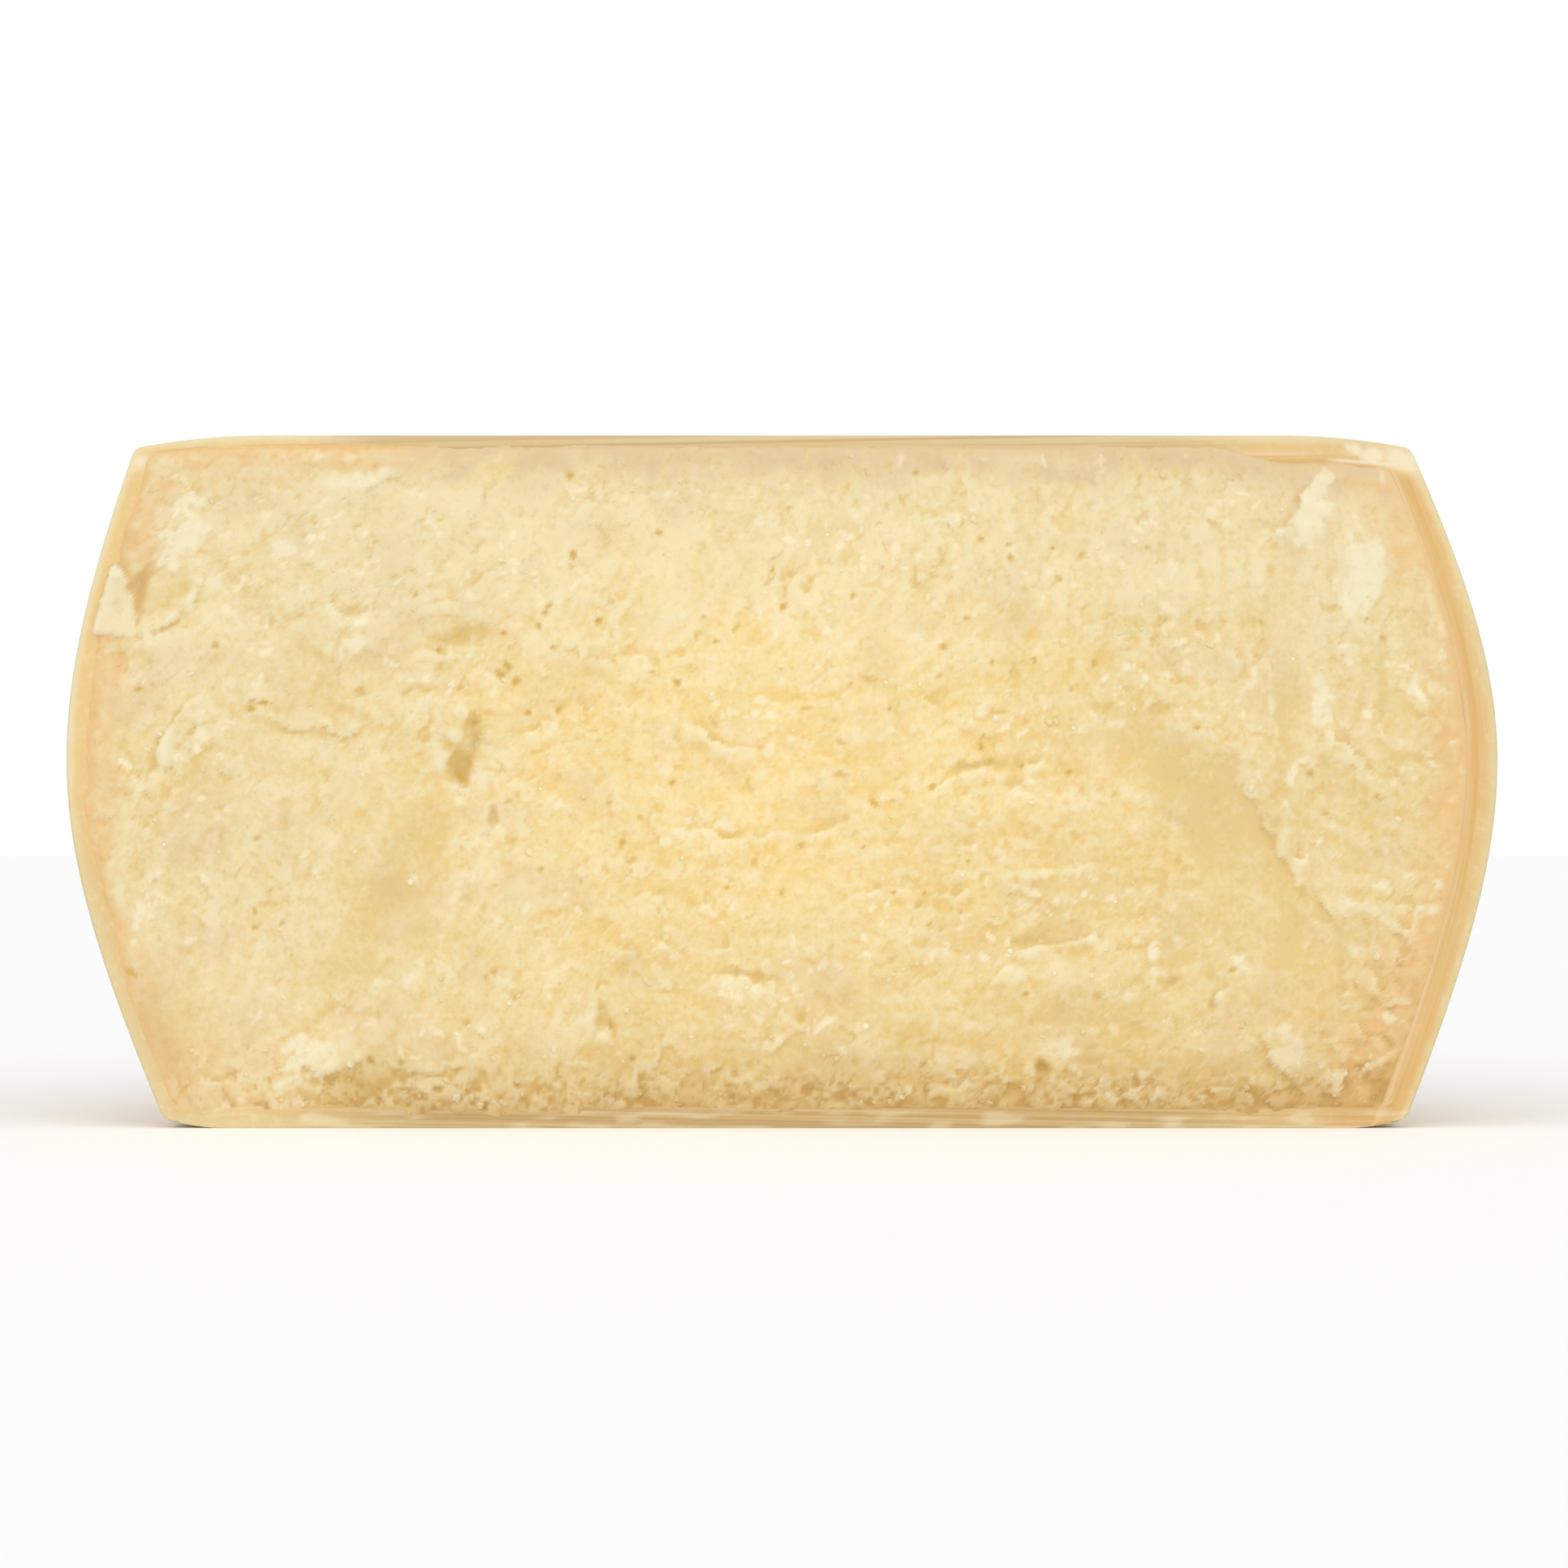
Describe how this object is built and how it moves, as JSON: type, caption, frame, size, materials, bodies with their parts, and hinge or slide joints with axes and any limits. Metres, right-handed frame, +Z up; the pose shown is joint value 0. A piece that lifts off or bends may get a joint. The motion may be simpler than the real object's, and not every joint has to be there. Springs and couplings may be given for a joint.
{
  "type": "half wheel of grana cheese",
  "caption": "Half of a barrel-shaped wheel of hard aged cheese, standing on its flat, with a rough broken face inside a smooth knife-scored rind band and a bulging heel behind.",
  "frame": {"origin": "on the resting flat, under the middle of the bounding box", "axes": "+X runs along the split face from its left end to its right end, seen from in front; the split face looks towards -Y and the heel towards +Y; +Z is up"},
  "size_m": [0.44, 0.2272, 0.213],
  "materials": {
    "cheese_paste": "dry, crumbly, slightly waxy straw-coloured paste with a darker smooth rind"
  },
  "bodies": {
    "root": {"cheese_half_wheel": "cheese_paste"}
  },
  "joints": []
}
